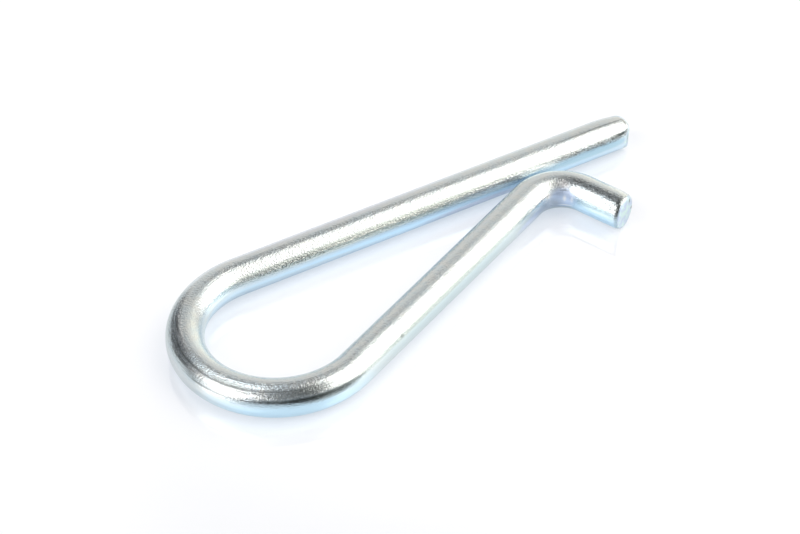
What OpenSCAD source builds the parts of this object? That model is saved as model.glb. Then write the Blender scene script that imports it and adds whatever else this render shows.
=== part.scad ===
// Hitch R clip: one length of round spring wire, bent in one plane and sheared off at both ends.
// The straight leg goes through the cross hole of a hitch pin. The second leg springs out over
// the pin and closes behind it, so that the pin sits in the loop.
// The clip lies flat on z = 0 with its box centred on the Z axis. The straight leg runs along X
// with its tip at +X, and the loop and the second leg lie on its -Y side.

/* [Wire] */
// Diameter of the wire
wire_d = 4; // [2.5:0.1:6]

/* [Straight leg] */
// Length from the start of the loop to the middle of the cut at the tip
leg_length = 47.9; // [38:0.1:80]

/* [Loop] */
// Inside diameter of the loop
loop_inside_d = 15.2; // [10:0.1:19]
// Angle at which the second leg runs back towards the straight leg
closing_angle = 25; // [18:0.5:45]

/* [Flared end] */
// Gap between the two legs where the second leg comes closest
throat_gap = 0.6; // [0.2:0.05:3]
// Inside radius of the bend that turns the second leg outwards
flare_inside_r = 2.3; // [1:0.1:5]
// Angle between the flared end and the straight leg
flare_angle = 66.5; // [30:0.5:85]
// Straight length of the flared end, from its bend to the middle of its cut
flare_length = 5.35; // [3:0.05:10]

/* [Cut at the tip of the straight leg] */
// Slope of the side that the shear rolled over
tip_slope = 8; // [2:0.5:12]
// Direction of that side, turned up from level
tip_side = 48; // [0:1:90]
// Depth of the rolled side at the cut
tip_sink = 0.35; // [0.1:0.05:0.6]
// Radius of the rim between the rolled side and the cut face
tip_rim_r = 0.85; // [0.2:0.05:1.2]
// Depth of the flat that the shear pressed into the inner side
tip_flat_depth = 0.58; // [0.2:0.02:0.9]
// Angle between that flat and the wire
tip_flat_angle = 24; // [15:1:40]

/* [Cut at the flared end] */
// Lean of the cut face from square, shorter on the side that faces the tip
end_lean = 8; // [0:0.5:12]
// Direction in which the rim of this cut is rounded most, turned up from level
end_side = 10; // [0:1:90]
// Radius of the rim of this cut
end_rim_r = 0.5; // [0.1:0.05:0.6]

/* [Hidden] */
$fn = 64;
// Angle by which a bend is made too long before it is trimmed
overbend = 10;
// Amount by which the tip's outline is wider than the wire all round
tip_spread = 0.25;
// Distance of the flared end's outline from the wire's centre line
end_shift = 0.2;
// Amount by which that outline clears the wire where the trimming starts
end_clear = 0.02;

wire_r = wire_d / 2;
loop_r = loop_inside_d / 2 + wire_r;
flare_r = flare_inside_r + wire_r;
loop_turn = even_turn(180 + closing_angle);
flare_turn = even_turn(closing_angle + flare_angle);
// Each turn is the nearest one whose sine and cosine, taken to six digits, still make a unit
// vector. Runs of wire in different directions then meet exactly, however the sizes change
function six_digits(x) =
    x == 0 ? 0 : let(place = pow(10, 5 - floor(log(abs(x))))) round(x * place) / place;
function misfit(turn) = abs(norm([six_digits(cos(turn)), six_digits(sin(turn))]) - 1);
function even_turn(turn) =
    let(turns = [for (step = [-100:100]) turn + step / 10000])
    let(misfits = [for (t = turns) misfit(t)])
    turns[search(min(misfits), misfits)[0]];
// The second leg is as long as it takes to bring the flare's bend to the throat gap
second_leg_rise = loop_r * (1 + cos(closing_angle)) - flare_r * (1 - cos(closing_angle));
second_leg_length = (second_leg_rise - wire_d - throat_gap) / sin(closing_angle);

// Each end is trimmed to a rounded bar. The tip's bar has the same middle as the wire where the
// trimming starts, and slopes away from it towards the cut
tip_r = wire_r + tip_spread;
tip_shift = tip_sink + tip_spread;
tip_trim = tip_shift / tan(tip_slope);
end_trim = end_rim_r + wire_d * tan(end_lean);
end_r = wire_r + end_shift + end_trim * tan(end_lean) + end_clear;

// Farthest point of the tip, and the middle of the clip along X
tip_x = leg_length + (tip_r - tip_rim_r) * sin(tip_slope) + tip_rim_r * (1 - cos(tip_slope));
middle_x = (tip_x - loop_r - wire_r) / 2;

// Wire that runs along +X from the origin. The children follow where it ends
module straight(length) {
    rotate([0, 90, 0]) cylinder(d = wire_d, h = length);
    translate([length, 0, 0]) children();
}

// Wire that starts along +X at the origin and turns left. It is bent a little too far and
// trimmed square where it ends, so that the children, which follow there, meet it face to face
module bend_left(radius, turn) {
    translate([0, radius, 0]) {
        difference() {
            rotate([0, 0, -90]) rotate_extrude(angle = turn + overbend)
                translate([radius, 0]) circle(d = wire_d);
            rotate([0, 0, turn]) translate([0, -radius - wire_d, -wire_d])
                cube([wire_d, 2 * wire_d, 2 * wire_d]);
        }
        rotate([0, 0, turn]) translate([0, -radius, 0]) children();
    }
}

module bend_right(radius, turn) {
    mirror([0, 1, 0]) bend_left(radius, turn) mirror([0, 1, 0]) children();
}

// Round bar that comes from -X and ends at the origin in a rounded rim
module rounded_bar(radius, length, rim_r) {
    rotate([0, 90, 0]) rotate_extrude() {
        translate([0, -length]) square([radius, length - rim_r]);
        translate([0, -rim_r]) square([radius - rim_r, rim_r]);
        intersection() {
            translate([radius - rim_r, -rim_r]) circle(r = rim_r);
            translate([radius - rim_r, -rim_r]) square(rim_r);
        }
    }
}

// End of a wire along +X. Its last stretch is trimmed to a rounded bar that is moved away from
// one side of the wire, turned up by side from level, and slopes down on that side.
module sheared_end(length, trim, bar_r, side, shift, slope, rim_r) {
    straight(length - trim);
    intersection() {
        translate([length - trim, 0, 0]) straight(trim + wire_r);
        translate([length, 0, 0]) rotate([side, 0, 0]) translate([0, -shift, 0])
            rotate([0, 0, -slope]) rounded_bar(bar_r, trim + wire_d, rim_r);
    }
}

module straight_leg() {
    difference() {
        sheared_end(leg_length, tip_trim, tip_r, tip_side, tip_shift, tip_slope, tip_rim_r);
        translate([leg_length, tip_flat_depth - wire_r, 0]) rotate([0, 0, tip_flat_angle])
            translate([-wire_d, -wire_d, -wire_d]) cube([3 * wire_d, wire_d, 2 * wire_d]);
    }
}

module flared_end() {
    sheared_end(flare_length, end_trim, end_r, end_side, end_shift, -end_lean, end_rim_r);
}

module r_clip() {
    color("#c9d2da") translate([-middle_x, loop_r, wire_r]) {
        straight_leg();
        rotate([0, 0, 180]) bend_left(loop_r, loop_turn) straight(second_leg_length)
            bend_right(flare_r, flare_turn) flared_end();
    }
}

r_clip();
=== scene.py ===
"""A zinc-plated hitch R clip lying on glossy white acrylic, under soft studio light.

Lengths are in metres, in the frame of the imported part: +X along the straight leg, +Z up, floor at z = 0.
Places on the plating are in millimetres on the straightened wire: outwards (away from the middle of the
clip), up, and along the wire from the tip of the straight leg.
"""
import math

import bpy
import numpy as np
from mathutils import Matrix, Vector

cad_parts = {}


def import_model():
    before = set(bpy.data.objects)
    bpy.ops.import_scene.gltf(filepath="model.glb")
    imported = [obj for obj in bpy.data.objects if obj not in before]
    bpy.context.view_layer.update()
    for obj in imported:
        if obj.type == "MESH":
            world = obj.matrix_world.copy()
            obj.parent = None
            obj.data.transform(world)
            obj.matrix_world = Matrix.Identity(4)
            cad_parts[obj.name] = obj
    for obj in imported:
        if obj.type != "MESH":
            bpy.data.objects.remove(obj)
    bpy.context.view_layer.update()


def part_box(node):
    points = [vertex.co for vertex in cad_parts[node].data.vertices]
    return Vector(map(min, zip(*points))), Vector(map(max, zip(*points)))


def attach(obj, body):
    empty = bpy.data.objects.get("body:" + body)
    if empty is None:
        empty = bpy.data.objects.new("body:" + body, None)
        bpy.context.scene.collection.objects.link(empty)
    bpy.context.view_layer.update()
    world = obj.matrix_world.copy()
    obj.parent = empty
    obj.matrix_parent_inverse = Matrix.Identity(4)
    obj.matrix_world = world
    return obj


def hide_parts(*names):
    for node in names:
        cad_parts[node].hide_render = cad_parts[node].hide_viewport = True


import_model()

MM = 0.001

# The bent wire, with the sizes that the part's source gives it
BOX_LOW, BOX_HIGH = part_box("r_clip")
WIRE_R = 2 * MM
LOOP_R = BOX_HIGH.y - WIRE_R
LOOP_X = BOX_LOW.x + LOOP_R + WIRE_R
CLOSING = math.radians(25)
LEG_LENGTH = 47.9 * MM
THROAT_GAP = 0.6 * MM
FLARE_R = 4.3 * MM
FLARE_TURN = math.radians(91.5)
FLARE_LENGTH = 5.35 * MM
SECOND_LEG_RISE = LOOP_R * (1 + math.cos(CLOSING)) - FLARE_R * (1 - math.cos(CLOSING))
SECOND_LEG = (SECOND_LEG_RISE - 2 * WIRE_R - THROAT_GAP) / math.sin(CLOSING)

# The wire from its tip to its flared end: length and curvature of each stretch
STRETCHES = [
    (LEG_LENGTH, 0),
    (LOOP_R * (math.pi + CLOSING), 1 / LOOP_R),
    (SECOND_LEG, 0),
    (FLARE_R * FLARE_TURN, -1 / FLARE_R),
    (FLARE_LENGTH, 0),
]
TOTAL = sum(length for length, _ in STRETCHES)

# Each sheared end is the wire trimmed to a round bar with a rounded rim, which is moved away from one side
# of the wire and tilted. The side is an angle up from the y of the end's own frame
TIP_BAR = {
    "bar_r": 2.25 * MM,
    "side": math.radians(48),
    "shift": 0.6 * MM,
    "slope": math.radians(8),
    "rim_r": 0.85 * MM,
}
FLARED_BAR = {
    "bar_r": 2.36 * MM,
    "side": math.radians(10),
    "shift": 0.2 * MM,
    "slope": math.radians(-8),
    "rim_r": 0.5 * MM,
}
# The flat that the shear pressed into the inner side of the tip
FLAT_ANGLE = math.radians(24)
FLAT_OFFSET = 1.42 * MM
# How round the edges are where the wire meets its bar or the flat
TIP_EDGE_R, FLAT_EDGE_R, FLARED_EDGE_R = 0.2 * MM, 0.45 * MM, 0.75 * MM
# The flared end's edge gets that round over a length, from this far before its cut
ROLL_START, ROLL_LENGTH = 1.6 * MM, 1.1 * MM

# The mesh has this many points in a ring, and its rings this far apart
RING_POINTS = 128
STRAIGHT_STEP, BENT_STEP, END_STEP = 0.3 * MM, 0.2 * MM, 0.12 * MM
# Each end has rings of its own from this far before its cut. The last ones fan out from a point on the
# centre line, at the second distance from the cut
TIP_REACH, TIP_FAN = 4.6 * MM, 1.2 * MM
FLARED_REACH, FLARED_FAN = ROLL_START, 1.1 * MM
FAN_RINGS = 72
# Steps of the search for the surface along a ray
HALVINGS = 40


def smooth_max(a, b, radius):
    """The larger of a and b, blended where they are closer than radius."""
    blend = np.clip(0.5 + 0.5 * (a - b) / radius, 0, 1)
    return b + (a - b) * blend + radius * blend * (1 - blend)


def turned(vector, angle):
    """A vector in the plane of the wire, turned left by angle."""
    cos, sin = math.cos(angle), math.sin(angle)
    return np.array([cos * vector[0] - sin * vector[1], sin * vector[0] + cos * vector[1]])


def centre_line(station):
    """The point on the wire's centre line at a distance from the tip, and the wire's heading there."""
    point, heading = np.array([LOOP_X + LEG_LENGTH, LOOP_R]), math.pi
    left = station
    for length, curvature in STRETCHES:
        run = min(left, length)
        ahead = np.array([math.cos(heading), math.sin(heading)])
        if curvature:
            angle = run * curvature
            sideways = turned(ahead, math.pi / 2)
            point = point + (math.sin(angle) * ahead + (1 - math.cos(angle)) * sideways) / curvature
            heading += angle
        else:
            point = point + run * ahead
        left -= run
    return point, heading


def rounded_bar(x, y, z, radius, rim_r):
    """How far places are outside a round bar that comes from -X and ends at x = 0 in a rounded rim."""
    dx, dr = x + rim_r, np.hypot(y, z) - radius + rim_r
    corner = np.sqrt(np.maximum(dx, 0) ** 2 + np.maximum(dr, 0) ** 2)
    return np.minimum(np.maximum(dx, dr), 0) + corner - rim_r


def trimming_bar(x, y, z, bar_r, side, shift, slope, rim_r):
    """How far places are outside the bar that a wire along +X is trimmed to, near its end at x = 0."""
    cos, sin = math.cos(side), math.sin(side)
    y, z = cos * y + sin * z + shift, -sin * y + cos * z
    cos, sin = math.cos(slope), math.sin(slope)
    return rounded_bar(cos * x - sin * y, sin * x + cos * y, z, bar_r, rim_r)


def tip_shape(x, y, z):
    """How far places are outside the tip, in its own frame: x along the wire and out, y outwards."""
    wire = np.hypot(y, z) - WIRE_R
    bar = trimming_bar(x, y, z, **TIP_BAR)
    flat = x * math.sin(FLAT_ANGLE) - (y + FLAT_OFFSET) * math.cos(FLAT_ANGLE)
    return smooth_max(smooth_max(wire, bar, TIP_EDGE_R), flat, FLAT_EDGE_R)


def flared_shape(x, y, z):
    """How far places are outside the flared end, in its own frame: x along the wire and out, y inwards."""
    wire = np.hypot(y, z) - WIRE_R
    bar = trimming_bar(x, y, z, **FLARED_BAR)
    rolled = np.clip((x + ROLL_START) / ROLL_LENGTH, 0.01, 1)
    return smooth_max(wire, bar, FLARED_EDGE_R * rolled)


def end_rings(shape, around, reach, fan):
    """Rings of points on a sheared end, in its own frame, from x = -reach to the middle of its cut."""
    rays = [(x, 0.0) for x in np.arange(-reach, -fan, END_STEP)]
    rays += [(-fan, tilt) for tilt in np.linspace(0, math.pi / 2, FAN_RINGS)]
    rings = []
    for x, tilt in rays:
        forwards = math.sin(tilt)
        y, z = math.cos(tilt) * np.cos(around), math.cos(tilt) * np.sin(around)
        # Each ray starts inside the wire, and its length to the surface is found by halving
        inside, outside = np.zeros_like(around), np.full_like(around, 2 * WIRE_R)
        for _ in range(HALVINGS):
            middle = (inside + outside) / 2
            is_in = shape(x + forwards * middle, y * middle, z * middle) < 0
            inside, outside = np.where(is_in, middle, inside), np.where(is_in, outside, middle)
        rings.append(np.stack([x + forwards * inside, y * inside, z * inside], 1))
    return rings


def plain_stations():
    """Distances from the tip of the rings between the two sheared ends."""
    stations, start = [], 0
    for length, curvature in STRETCHES:
        step = BENT_STEP if curvature else STRAIGHT_STEP
        low, high = max(start, TIP_REACH), min(start + length, TOTAL - FLARED_REACH)
        stations += list(np.linspace(low, high, max(2, int((high - low) / step)), endpoint=False))
        start += length
    # The first one is the tip's own last ring
    return stations[1:]


def wire_rings():
    """Every ring of the wire: its points in the part's frame, and their places on the straightened wire."""
    around = np.linspace(0, 2 * math.pi, RING_POINTS, endpoint=False)
    rings = []
    for points in reversed(end_rings(tip_shape, around, TIP_REACH, TIP_FAN)):
        x, outwards, up = points.T
        rings.append((points + [LOOP_X + LEG_LENGTH, LOOP_R, WIRE_R], np.stack([outwards, up, -x], 1)))
    outwards, up = WIRE_R * np.cos(around), WIRE_R * np.sin(around)
    for station in plain_stations():
        point, heading = centre_line(station)
        x, y = point[0] + math.sin(heading) * outwards, point[1] - math.cos(heading) * outwards
        along = np.full(RING_POINTS, station)
        rings.append((np.stack([x, y, WIRE_R + up], 1), np.stack([outwards, up, along], 1)))
    point, heading = centre_line(TOTAL)
    ahead = np.array([math.cos(heading), math.sin(heading)])
    inwards = turned(ahead, math.pi / 2)
    # The y of the flared end's own frame points inwards, so the angle round the wire runs the other way
    for points in end_rings(flared_shape, math.pi - around, FLARED_REACH, FLARED_FAN):
        out, y, up = points.T
        place = [point[axis] + ahead[axis] * out + inwards[axis] * y for axis in (0, 1)]
        rings.append((np.stack([*place, WIRE_R + up], 1), np.stack([-y, up, TOTAL + out], 1)))
    return rings


def ring_faces(starts):
    """Faces between rings whose points start at the given numbers. The first and the last are a point."""
    faces = []
    last = len(starts) - 1
    for index, (a, b) in enumerate(zip(starts, starts[1:])):
        for k in range(RING_POINTS):
            n = (k + 1) % RING_POINTS
            if index == 0:
                faces.append((a, b + k, b + n))
            elif index == last - 1:
                faces.append((a + n, a + k, b))
            else:
                faces.append((a + k, b + k, b + n, a + n))
    return faces


def fitted(points):
    """Points moved by a few microns, so that they fill the CAD box exactly."""
    low, high = np.array(BOX_LOW), np.array(BOX_HIGH)
    return low + (points - points.min(0)) / np.ptp(points, 0) * (high - low)


def placed(name, data):
    """A new object in the scene."""
    item = bpy.data.objects.new(name, data)
    bpy.context.scene.collection.objects.link(item)
    return item


def wire_piece():
    """The whole wire as one closed mesh. Each point knows its place on the straightened wire, and how far
    it lies below the round of the wire, which is more than nothing only at the sheared ends."""
    rings = wire_rings()
    points, line, starts = [], [], []
    for index, (place, straight) in enumerate(rings):
        if index in (0, len(rings) - 1):
            place, straight = [place.mean(0)], [straight.mean(0)]
        starts.append(len(points))
        points += list(place)
        line += list(straight)
    line = np.array(line)
    below = WIRE_R - np.hypot(line[:, 0], line[:, 1])
    mesh = bpy.data.meshes.new("wire")
    mesh.from_pydata(fitted(np.array(points)).tolist(), [], ring_faces(starts))
    mesh.validate()
    places = mesh.attributes.new("straight_mm", "FLOAT_VECTOR", "POINT")
    places.data.foreach_set("vector", (line / MM).astype(np.float32).ravel())
    depths = mesh.attributes.new("below_mm", "FLOAT", "POINT")
    depths.data.foreach_set("value", (below / MM).astype(np.float32))
    mesh.polygons.foreach_set("use_smooth", [True] * len(mesh.polygons))
    mesh.update()
    return placed("wire", mesh)


def new_material(name):
    """A material with its node tree and its shader."""
    material = bpy.data.materials.new(name)
    material.use_nodes = True
    return material, material.node_tree, material.node_tree.nodes["Principled BSDF"]


def feed(tree, value, socket):
    """Link a socket to another one, or set it to a number or a colour."""
    if isinstance(value, bpy.types.NodeSocket):
        tree.links.new(value, socket)
    else:
        socket.default_value = (*value, 1) if isinstance(value, tuple) else value


def attribute(tree, name):
    node = tree.nodes.new("ShaderNodeAttribute")
    node.attribute_name = name
    return node.outputs


def noise(tree, where, scale, detail, rough):
    node = tree.nodes.new("ShaderNodeTexNoise")
    node.inputs["Scale"].default_value = scale
    node.inputs["Detail"].default_value = detail
    node.inputs["Roughness"].default_value = rough
    feed(tree, where, node.inputs["Vector"])
    return node.outputs[0]


def stretched(tree, where, scale, shift=(0, 0, 0)):
    node = tree.nodes.new("ShaderNodeMapping")
    node.inputs["Location"].default_value = shift
    node.inputs["Scale"].default_value = scale
    feed(tree, where, node.inputs["Vector"])
    return node.outputs[0]


def ramp(tree, value, low, high, at_low, at_high, curve="LINEAR"):
    """A value's way from low to high, as a way from at_low to at_high that stops at both ends."""
    node = tree.nodes.new("ShaderNodeMapRange")
    node.interpolation_type = curve
    node.inputs["From Min"].default_value = low
    node.inputs["From Max"].default_value = high
    node.inputs["To Min"].default_value = at_low
    node.inputs["To Max"].default_value = at_high
    feed(tree, value, node.inputs["Value"])
    return node.outputs["Result"]


def bump(tree, height, distance, normal=None, strength=1.0):
    node = tree.nodes.new("ShaderNodeBump")
    node.inputs["Distance"].default_value = distance
    feed(tree, height, node.inputs["Height"])
    feed(tree, strength, node.inputs["Strength"])
    if normal is not None:
        feed(tree, normal, node.inputs["Normal"])
    return node.outputs[0]


def math_node(tree, operation, first, second=0.0):
    node = tree.nodes.new("ShaderNodeMath")
    node.operation = operation
    feed(tree, first, node.inputs[0])
    feed(tree, second, node.inputs[1])
    return node.outputs[0]


def mix_colour(tree, amount, below, above):
    node = tree.nodes.new("ShaderNodeMix")
    node.data_type = "RGBA"
    feed(tree, amount, node.inputs["Factor"])
    for name, value in (("A", below), ("B", above)):
        feed(tree, value, [i for i in node.inputs if i.name == name and i.type == "RGBA"][0])
    return [o for o in node.outputs if o.type == "RGBA"][0]


def distance_from(tree, place, centre, reach):
    """How far places are from a centre, where reach, which has one value for each direction, counts as 1.

    A reach of 0 leaves its direction out.
    """
    scale = tuple(1 / r if r else 0 for r in reach)
    away = stretched(tree, place, scale, tuple(-c * k for c, k in zip(centre, scale)))
    node = tree.nodes.new("ShaderNodeVectorMath")
    node.operation = "LENGTH"
    feed(tree, away, node.inputs[0])
    return node.outputs["Value"]


def near(tree, place, centre, reach, full=0.5, none=1.1, amount=1.0):
    """The amount within the full share of a centre's reach, fading to 0 at the other share."""
    return ramp(tree, distance_from(tree, place, centre, reach), full, none, amount, 0.0)


# Reflections and shade painted into the plating's colour: what each one is, its middle, its reach and its
# colour. A later one lies over the ones before it. The blue ones are the floor's bluish light, painted as a
# reflection on the inner side of the straight leg and under the bends; the others are painted reflections
# of the studio and of the wire's other parts, lighter or darker, and painted shade
PAINTED_REFLECTIONS_AND_SHADE = [
    ("inner side of the straight leg", (-2.0, -0.9, 28), (1.4, 1.6, 38), (0.49, 0.70, 0.89)),
    ("foot of the loop's front", (2.0, -0.6, 75), (1.2, 1.9, 9), (0.61, 0.82, 0.97)),
    ("foot of the flare", (2.0, -0.6, 121), (1.3, 1.8, 8), (0.51, 0.71, 0.87)),
    ("outer side of the second leg", (1.95, 0.2, 97), (0.5, 1.3, 15), (0.50, 0.60, 0.64)),
    ("line along the second leg", (1.78, 0.91, 95), (0.3, 0.34, 17), (0.45, 0.51, 0.50)),
    # Painted shade where the loop reflects dark surroundings
    ("painted shade on the loop's shoulder", (1.78, 0.9, 78), (0.4, 0.5, 3.6), (0.32, 0.37, 0.39)),
    ("painted shade on top of that shoulder", (1.2, 1.6, 76.4), (0.7, 0.5, 1.9), (0.36, 0.40, 0.41)),
    ("painted shade on top of the loop", (0.85, 1.81, 68.8), (0.4, 0.3, 2.2), (0.42, 0.46, 0.46)),
    ("painted shade outside the loop", (1.64, 1.15, 66.2), (0.35, 0.4, 2.2), (0.45, 0.52, 0.55)),
    ("line along the straight leg", (-1.66, 1.12, 32), (0.3, 0.32, 24), (0.50, 0.56, 0.55)),
    ("bright top of the second leg", (0.52, 1.93, 84.5), (0.4, 0.3, 3.5), (0.78, 0.86, 0.88)),
    ("bright top of the loop", (0.52, 1.93, 60), (0.4, 0.3, 3.5), (0.92, 0.98, 1.0)),
    ("bright outer side of the flared end", (1.95, 0.45, 123.3), (0.5, 0.5, 2.6), (0.76, 0.94, 1.0)),
    ("bright shoulder of the straight leg", (-1.85, 0.75, 31), (0.35, 0.45, 19), (0.86, 0.92, 0.88)),
    ("inner side of the tip", (-1.95, 0.25, 5.0), (0.5, 0.6, 8.5), (0.39, 0.56, 0.68)),
    ("bright shoulder by the throat", (-1.88, 0.65, 16.5), (0.5, 0.5, 7), (0.93, 0.98, 1.0)),
    ("foot of the leg by the throat", (-1.9, -0.8, 19.5), (0.5, 0.75, 8.5), (0.40, 0.48, 0.63)),
    ("foot of the leg by the loop", (-1.87, -0.75, 44), (0.5, 0.6, 16), (0.47, 0.60, 0.72)),
    ("outer side before the flare", (2.0, -0.3, 111.8), (0.6, 0.8, 3.5), (0.50, 0.58, 0.74)),
    ("inner side where the loop starts", (-1.85, 0.7, 52.5), (0.4, 0.5, 3.5), (0.78, 0.92, 0.98)),
    ("outer side of the loop", (2.0, 0.2, 61.5), (0.5, 0.9, 4.5), (0.72, 0.76, 0.78)),
    ("pale line before the flare", (1.9, 0.6, 114.2), (0.5, 0.38, 3.0), (0.76, 0.80, 0.86)),
    ("under the flare's bend", (1.6, -1.2, 117.5), (0.6, 0.7, 4.0), (0.50, 0.56, 0.60)),
    ("bright line before the flare", (1.82, 0.82, 114.0), (0.35, 0.35, 3.0), (1.0, 1.0, 1.0)),
    ("back of the straight leg", (1.2, 1.6, 36), (1.2, 0.9, 18), (0.62, 0.66, 0.725)),
]

# The inside of the flare's bend, which the bending tool pressed matt; shade and a bluish reflection in its
# crease are painted into its colour
PRESSED = (1.95, 0.35, (TOTAL - FLARE_LENGTH - FLARE_R * FLARE_TURN * 0.37) / MM), (1.2, 1.3, 2.7)
# The foot of the second leg beside it, darker with painted shade
BESIDE_PRESSED = (1.95, -0.3, 115.3), (0.8, 0.95, 3.2)
# Highlights painted on the pressed bend: what each one is, its middle, its reach and its amount
PAINTED_GLINTS = [
    ("bar across the bend", (1.97, 0.35, 118.5), (0.6, 0.42, 0.45), 0.9),
    ("fainter bar beside it", (1.97, 0.35, 120.0), (0.6, 0.42, 0.4), 0.6),
    ("line along the bend", (1.92, -0.56, 118.8), (0.6, 0.12, 1.7), 0.8),
    ("patch on top", (1.10, 1.66, 118.2), (0.6, 0.5, 1.1), 0.9),
]
# The top of the bend, which is matt too
SCUFFED_TOP = (1.2, 1.6, 118.3), (0.9, 0.7, 1.6)

# Shade painted in speckles where the wire reflects dark surroundings, on the pattern of the plating's
# grain:
# what each place is, its middle and reach, how black its speckles are, and how black its streaks along the
# drawing die's lines are
SPECKLED_PAINTED_SHADE = [
    ("top of the flared end", (0.45, 1.92, 122.6), (0.6, 0.45, 5.6), 0.5, 0.0),
    ("top of its cut", (1.4, 1.45, 124.8), (0.65, 0.55, 1.7), 0.85, 0.0),
    ("top of the pressed bend", (1.2, 1.6, 118.3), (0.8, 0.6, 1.6), 0.3, 0.0),
    ("outer shoulder of the flared end", (0.95, 1.74, 122.6), (0.45, 0.45, 5.4), 0.35, 0.0),
    ("back of the loop", (1.1, 1.6, 59.5), (1.0, 0.75, 6.5), 0.55, 0.7),
    ("front of the loop", (1.3, 1.5, 75.4), (0.8, 0.75, 4.6), 0.45, 0.45),
    ("inner shoulder of the straight leg", (-1.78, 0.85, 26.0), (0.3, 0.4, 26.0), 0.3, 0.0),
    ("inner shoulder of the tip", (-1.78, 0.85, 3.5), (0.3, 0.4, 6.5), 0.75, 0.0),
    ("inner shoulder before the loop", (-1.78, 0.85, 42.0), (0.35, 0.45, 5.0), 0.6, 0.0),
]

# Small dark marks, most of them painted shade: dark lines and rims where the wire reflects dark
# surroundings, and shade in a nick, beside spots at burrs; what each one is, its middle, its reach and its
# amount
DARK_MARKS_AND_PAINTED_SHADE = [
    # Painted shade along the tip's flat, where its rolled edge reflects dark surroundings
    ("painted shade along the tip's flat", (-1.69, 1.06, 1.3), (0.3, 0.2, 1.3), 0.85),
    ("burr below the tip's flat", (-1.75, -1.0, 0.75), (0.2, 0.25, 0.25), 0.6),
    ("burr on top of the flared cut", (-0.84, 1.0, 125.75), (0.16, 0.3, 0.2), 0.85),
    ("burr beside the flared cut", (-1.3, -0.2, 125.7), (0.2, 0.16, 0.2), 0.85),
    # Painted shade in a nick
    ("painted shade in a nick in the second leg", (1.74, 0.98, 88), (0.2, 0.25, 0.3), 0.5),
    # Painted shade where the loop's end reflects dark surroundings
    ("painted dark line at the end of the loop", (1.74, 0.97, 76), (0.2, 0.2, 6.0), 0.9),
    ("dark line on the pressed bend", (1.60, 1.20, 118.4), (0.4, 0.08, 0.8), 0.5),
    # Painted shade where the tip and its rim reflect dark surroundings
    ("painted dark line on top of the tip", (-0.38, 1.96, 4.5), (0.13, 0.3, 5.0), 0.5),
    ("rim of the tip's cut", (-0.95, 1.75, 0.45), (0.65, 0.5, 0.13), 0.6),
    # Painted shade along the die line round the loop, and below it
    ("painted shade along the die line round the loop", (1.0, 1.73, 67.0), (0.1, 0.1, 11.0), 0.75),
    ("painted dark line below it", (1.77, 0.94, 67.0), (0.12, 0.12, 3.0), 0.6),
    # Painted shade at the tip's flat, where its rolled edge reflects dark surroundings
    ("corner of the tip's flat", (-1.56, 1.25, 0.47), (0.15, 0.15, 0.25), 0.8),
    ("edge of the tip's flat", (-1.68, 0.3, 0.52), (0.15, 0.8, 0.1), 0.5),
]

# Colour of the highlights painted on the pressed bend
GLINT_COLOUR = (0.95, 0.97, 1.0)
# Colour of the shade painted in speckles
SPECKLED_SHADE_COLOUR = (0.12, 0.14, 0.14)
# Colour of the shade painted on the rolled-over edge of the flared end
ROLLED_EDGE_SHADE_COLOUR = (0.14, 0.16, 0.16)
# Colour of the dark marks and of the painted shade among them
MARK_AND_SHADE_COLOUR = (0.10, 0.12, 0.12)
TORN_COLOURS = (0.53, 0.63, 0.79), (0.62, 0.79, 0.79)
PASSIVATE_COLOURS = (0.60, 0.68, 0.72), (0.64, 0.69, 0.70)
# Painted shade and bluish reflection in the crease of the flare's bend
PRESSED_SHADE_COLOUR = (0.56, 0.68, 0.88)
# Painted shade beside that crease
BESIDE_PRESSED_SHADE_COLOUR = (0.42, 0.49, 0.59)


def plating_normal(tree, place, outwards):
    """Crystals of the plating, and lines of the drawing die, which show most round the loop."""
    loop_middle = (0, 0, (LEG_LENGTH + LOOP_R * math.radians(110)) / MM)
    from_loop = distance_from(tree, place, loop_middle, (0, 0, 17))
    crystals = noise(tree, place, 4.6, 2.0, 0.7)
    normal = bump(tree, crystals, 0.04 * MM)
    streaks = noise(tree, stretched(tree, place, (1, 1, 0.07)), 5.5, 2.0, 0.7)
    normal = bump(tree, streaks, 0.03 * MM, normal, ramp(tree, from_loop, 0.7, 1.1, 1.0, 0.6))
    # One deep line of the die, on the outer side of the loop
    off_line = math_node(tree, "ABSOLUTE", math_node(tree, "SUBTRACT", outwards, 1.0))
    groove = ramp(tree, off_line, 0.0, 0.06, 0.0, 1.0)
    return bump(tree, groove, 0.02 * MM, normal, ramp(tree, from_loop, 0.6, 0.9, 1.0, 0.0))


def passivate_with_painted_light(tree, place):
    """The passivate's colour, which differs at random, with the reflections and shade painted over it."""
    tone = noise(tree, place, 0.8, 3.0, 0.6)
    tint = mix_colour(tree, ramp(tree, tone, 0.35, 0.65, 0, 1), *PASSIVATE_COLOURS)
    for _, centre, reach, colour in PAINTED_REFLECTIONS_AND_SHADE:
        tint = mix_colour(tree, near(tree, place, centre, reach), tint, colour)
    return tint


def pressed_bend(tree, place, pressed, tint):
    """Painted shade and a bluish reflection in the crease inside the flare's bend and beside it, with
    painted highlights.
    """
    tint = mix_colour(tree, ramp(tree, pressed, 0.7, 1.15, 1.0, 0.0), tint, PRESSED_SHADE_COLOUR)
    tint = mix_colour(tree, near(tree, place, *BESIDE_PRESSED), tint, BESIDE_PRESSED_SHADE_COLOUR)
    for _, centre, reach, amount in PAINTED_GLINTS:
        glint = near(tree, place, centre, reach, full=0.2, amount=amount)
        tint = mix_colour(tree, glint, tint, GLINT_COLOUR)
    return tint


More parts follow.
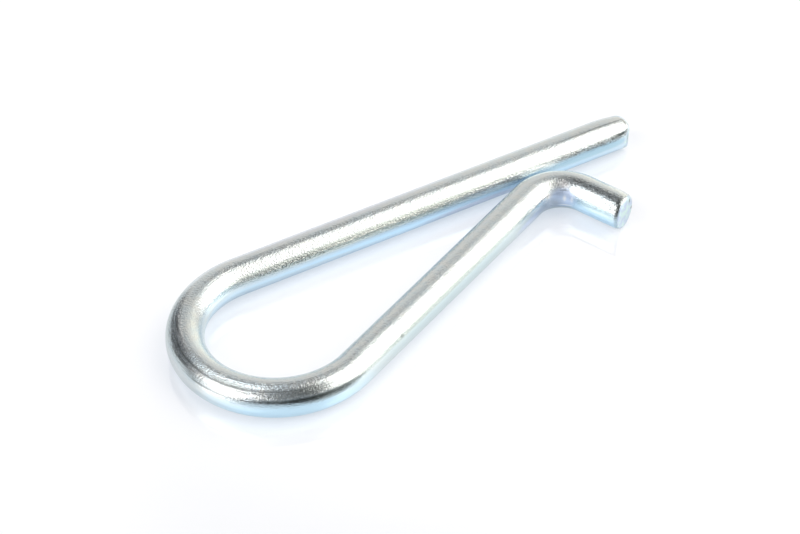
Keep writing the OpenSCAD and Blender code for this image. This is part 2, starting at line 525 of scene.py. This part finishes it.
def speckled_shade(tree, place, speckle_noise, tint):
    """Black speckles painted as shade where the wire reflects dark surroundings, and dark streaks painted
    along the die's lines.
    """
    streaky = noise(tree, stretched(tree, place, (1, 1, 0.06), (3, 0, 0)), 3.2, 2.0, 0.7)
    for _, centre, reach, speckle_shade_amount, streak_shade_amount in SPECKLED_PAINTED_SHADE:
        spots = ramp(tree, speckle_noise, 0.48, 0.58, 0.0, speckle_shade_amount)
        if streak_shade_amount:
            streaks = ramp(tree, streaky, 0.50, 0.60, 0.0, streak_shade_amount)
            spots = math_node(tree, "MAXIMUM", spots, streaks)
        shaded_place = near(tree, place, centre, reach, full=0.6)
        tint = mix_colour(tree, math_node(tree, "MULTIPLY", shaded_place, spots), tint, SPECKLED_SHADE_COLOUR)
    return tint


def rolled_edge_shade(tree, below, speckle_noise, outwards, up, along):
    """Shade painted on the edge that the shear rolled over at the flared end, where it reflects dark
    surroundings: most on top of its outer side, and speckled.
    """
    amount = ramp(tree, below, 0.01, 0.03, 0.0, 0.95)
    for share in (
        ramp(tree, below, 0.16, 0.2, 1.0, 0.0),
        ramp(tree, speckle_noise, 0.38, 0.55, 0.4, 1.0),
        ramp(tree, up, 0.0, 1.0, 0.25, 1.0),
        ramp(tree, outwards, -0.3, 0.6, 0.15, 1.0),
        ramp(tree, along, 60, 80, 0.0, 1.0),
    ):
        amount = math_node(tree, "MULTIPLY", amount, share)
    return amount


def marked_and_shaded(tree, place, speckle_noise, tint):
    """Dark spots at burrs and a dark line on the pressed bend, and painted shade in a nick, along dark
    lines and at rims, with ragged edges.
    """
    ragged = math_node(tree, "MULTIPLY", speckle_noise, 1.4)
    for _, centre, reach, amount in DARK_MARKS_AND_PAINTED_SHADE:
        away = math_node(tree, "ADD", distance_from(tree, place, centre, reach), ragged)
        tint = mix_colour(tree, ramp(tree, away, 1.1, 1.9, amount, 0.0), tint, MARK_AND_SHADE_COLOUR)
    return tint


def zinc_roughness(tree, place, pressed, torn):
    """Smooth as plated, but for the pressed bend, its scuffed top and the torn cuts."""
    matt = ramp(tree, pressed, 0.8, 1.3, 0.42, 0.08)
    scuffed = near(tree, place, *SCUFFED_TOP, amount=0.3)
    roughness = math_node(tree, "MAXIMUM", matt, scuffed)
    return math_node(tree, "MAXIMUM", roughness, math_node(tree, "MULTIPLY", torn, 0.28))


def zinc():
    """Bright zinc plate with a blue passivate on drawn wire, torn at the sheared ends, with reflections,
    shade and highlights painted into its colour.
    """
    material, tree, shader = new_material("zinc")
    place = attribute(tree, "straight_mm")["Vector"]
    below = attribute(tree, "below_mm")["Fac"]
    split = tree.nodes.new("ShaderNodeSeparateXYZ")
    feed(tree, place, split.inputs[0])
    outwards, up, along = split.outputs
    # A speckle pattern for the painted shade and for the ragged edges of the marks
    speckle_noise = noise(tree, place, 6.0, 2.0, 0.6)
    pressed = distance_from(tree, place, *PRESSED)
    torn = ramp(tree, below, 0.16, 0.21, 0.0, 1.0)
    tint = pressed_bend(tree, place, pressed, passivate_with_painted_light(tree, place))
    tint = speckled_shade(tree, place, speckle_noise, tint)
    tint = mix_colour(tree, rolled_edge_shade(tree, below, speckle_noise, outwards, up, along), tint, ROLLED_EDGE_SHADE_COLOUR)
    patches = ramp(tree, noise(tree, place, 1.3, 2.0, 0.6), 0.4, 0.6, 0, 1)
    tint = mix_colour(tree, torn, tint, mix_colour(tree, patches, *TORN_COLOURS))
    feed(tree, marked_and_shaded(tree, place, speckle_noise, tint), shader.inputs["Base Color"])
    feed(tree, zinc_roughness(tree, place, pressed, torn), shader.inputs["Roughness"])
    feed(tree, plating_normal(tree, place, outwards), shader.inputs["Normal"])
    shader.inputs["Metallic"].default_value = 1
    return material


def acrylic():
    """White acrylic lit from within its own thickness: it glows for the camera and in the metal."""
    material, tree, shader = new_material("acrylic")
    shader.inputs["Base Color"].default_value = (0.52, 0.51, 0.48, 1)
    shader.inputs["Roughness"].default_value = 0.05
    shader.inputs["IOR"].default_value = 2.2
    path = tree.nodes.new("ShaderNodeLightPath")
    surface = shader.outputs[0]
    for ray, colour in (("Is Camera Ray", (0.42, 0.46, 0.53)), ("Is Glossy Ray", (0.36, 0.41, 0.46))):
        glow = tree.nodes.new("ShaderNodeEmission")
        feed(tree, colour, glow.inputs["Color"])
        feed(tree, path.outputs[ray], glow.inputs["Strength"])
        both = tree.nodes.new("ShaderNodeAddShader")
        feed(tree, surface, both.inputs[0])
        feed(tree, glow.outputs[0], both.inputs[1])
        surface = both.outputs[0]
    feed(tree, surface, tree.nodes["Material Output"].inputs["Surface"])
    return material


def floor_piece():
    half = 2.0
    mesh = bpy.data.meshes.new("floor")
    corners = [(-half, -half, 0), (half, -half, 0), (half, half, 0), (-half, half, 0)]
    mesh.from_pydata(corners, [], [(0, 1, 2, 3)])
    mesh.materials.append(acrylic())
    return placed("floor", mesh)


# Patches of the studio as the clip sees it, each over the ones before it: name, corners as (azimuth,
# elevation) in degrees, softness of its edges from the first corner round, colour
STUDIO = [
    ("ceiling", [(-180, 73), (-87, 60), (-3, 70), (80, 52)], (0.1,) * 4, (0.36, 0.35, 0.35)),
    ("front", [(-150, 14), (-72, 16), (-60, 72), (-150, 80)], (0.08,) * 4, (0.38, 0.38, 0.38)),
    ("backdrop top", [(30, 36), (70, 34), (66, 54), (24, 60)], (0.08,) * 4, (0.62, 0.62, 0.6)),
    ("backdrop", [(6, -11), (90, -14), (85, 37), (24, 49)], (0.1, 0.12, 0.12, 0.15), (0.92, 0.87, 0.825)),
    ("backdrop glow", [(22, -18), (58, -8), (40, 34), (18, 36)], (0.1, 0.16, 0.1, 0.1), (1.4, 1.32, 1.16)),
    ("table edge right", [(-52, -18), (-16, -20), (-15, 20), (-54, 20)], (0.05,) * 4, (0.82, 0.86, 0.82)),
    ("table edge left", [(120, -20), (164, -20), (161, 6), (120, 8)], (0.07,) * 4, (0.82, 0.81, 0.78)),
    ("ceiling line", [(57, 48), (70, 45), (70, 54), (57, 55)], (0.03,) * 4, (0.2, 0.2, 0.2)),
    ("dark ceiling", [(-106, 67), (-64, 65), (-40, 78), (-106, 80)], (0.03,) * 4, (0.05, 0.05, 0.055)),
    ("dark ceiling corner", [(66, 54), (99, 58), (99, 67), (66, 67)], (0.035,) * 4, (0.03, 0.035, 0.035)),
    ("unlit corner", [(93, 4), (136, 8), (138, 36), (82, 42)], (0.03, 0.06, 0.09, 0.06), (0.19, 0.19, 0.2)),
    ("dark front", [(-116, 5), (-82, 3), (-82, 17), (-116, 19)], (0.025,) * 4, (0.01, 0.02, 0.03)),
    ("front right", [(-80, -14), (-52, -14), (-52, 14), (-80, 14)], (0.05,) * 4, (0.8, 0.8, 0.74)),
    ("front right post", [(-65.5, -14), (-50, -14), (-50, 15), (-65.5, 15)], (0.03,) * 4, (0.3, 0.3, 0.3)),
    ("softbox right", [(-69, 19), (-3, -7), (38, 70.5), (-68, 58)],
     (0.06, 0.13, 0.04, 0.03), (2.5, 2.33, 2.16)),
    ("softbox left", [(173, -8), (-160, 9), (-129, 47), (150, 46)],
     (0.05, 0.07, 0.03, 0.09), (2.6, 2.42, 2.32)),
]
ROOM = (0.42, 0.41, 0.41)


def direction(azimuth, elevation):
    """Unit vector towards an azimuth, from +X towards +Y, and an elevation, both in degrees."""
    a, e = math.radians(azimuth), math.radians(elevation)
    return Vector((math.cos(e) * math.cos(a), math.cos(e) * math.sin(a), math.sin(e)))


def inside_quad(tree, towards, corners, softness):
    """1 for directions inside four corners, fading to 0 across the softness of each edge."""
    rays = [direction(*corner) for corner in corners]
    inside = None
    for first, second, width in zip(rays, rays[1:] + rays[:1], softness):
        dot = tree.nodes.new("ShaderNodeVectorMath")
        dot.operation = "DOT_PRODUCT"
        feed(tree, towards, dot.inputs[0])
        dot.inputs[1].default_value = first.cross(second).normalized()
        within = ramp(tree, dot.outputs["Value"], -width, width, 0.0, 1.0, "SMOOTHSTEP")
        inside = within if inside is None else math_node(tree, "MULTIPLY", inside, within)
    return inside


def world():
    """The studio, which the camera itself sees as plain white."""
    data = bpy.data.worlds.new("studio")
    bpy.context.scene.world = data
    data.use_nodes = True
    tree = data.node_tree
    towards = tree.nodes.new("ShaderNodeTexCoord").outputs["Generated"]
    colour = ROOM
    for _, corners, softness, patch in STUDIO:
        colour = mix_colour(tree, inside_quad(tree, towards, corners, softness), colour, patch)
    studio = tree.nodes["Background"]
    feed(tree, colour, studio.inputs["Color"])
    white = tree.nodes.new("ShaderNodeBackground")
    feed(tree, (1, 1, 1), white.inputs["Color"])
    path = tree.nodes.new("ShaderNodeLightPath")
    either = tree.nodes.new("ShaderNodeMixShader")
    feed(tree, path.outputs["Is Camera Ray"], either.inputs[0])
    feed(tree, studio.outputs[0], either.inputs[1])
    feed(tree, white.outputs[0], either.inputs[2])
    feed(tree, either.outputs[0], tree.nodes["World Output"].inputs["Surface"])


def facing(away, roll, distance, centre=Vector()):
    """Matrix of something at a distance from a centre, turned towards it and rolled."""
    level = Vector((-away.y, away.x, 0)).normalized()
    upright = away.cross(level)
    across = level * math.cos(roll) + upright * math.sin(roll)
    up = upright * math.cos(roll) - level * math.sin(roll)
    return Matrix.Translation(centre + away * distance) @ Matrix((across, up, away)).transposed().to_4x4()


def top_card():
    """A small bright card close above the loop, which gives it its second highlight."""
    width, height, distance = 36 * MM, 41 * MM, 89.4 * MM
    radiance = 2.1
    data = bpy.data.lights.new("top_card", "AREA")
    data.shape = "RECTANGLE"
    data.size, data.size_y = width, height
    data.energy = radiance * math.pi * width * height
    lamp = placed("top_card", data)
    lamp.matrix_world = facing(direction(151.8, 61.6), math.radians(-64), distance)
    lamp.visible_camera = False


def camera():
    """The camera, at the viewing angle of the real clip's picture."""
    data = bpy.data.cameras.new("camera")
    data.sensor_width = 36
    data.lens = 120.6882
    data.clip_start, data.clip_end = 0.01, 10
    item = placed("camera", data)
    focus = Vector((-1.745 * MM, 4.251 * MM, 0))
    item.matrix_world = facing(direction(-118.316, 41.873), math.radians(-1.59), 283.56 * MM, focus)
    bpy.context.scene.camera = item


bpy.context.scene.view_settings.view_transform = "Standard"
camera()
world()
top_card()
floor = floor_piece()
wire = wire_piece()
wire.data.materials.append(zinc())
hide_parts("r_clip")
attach(wire, "root")
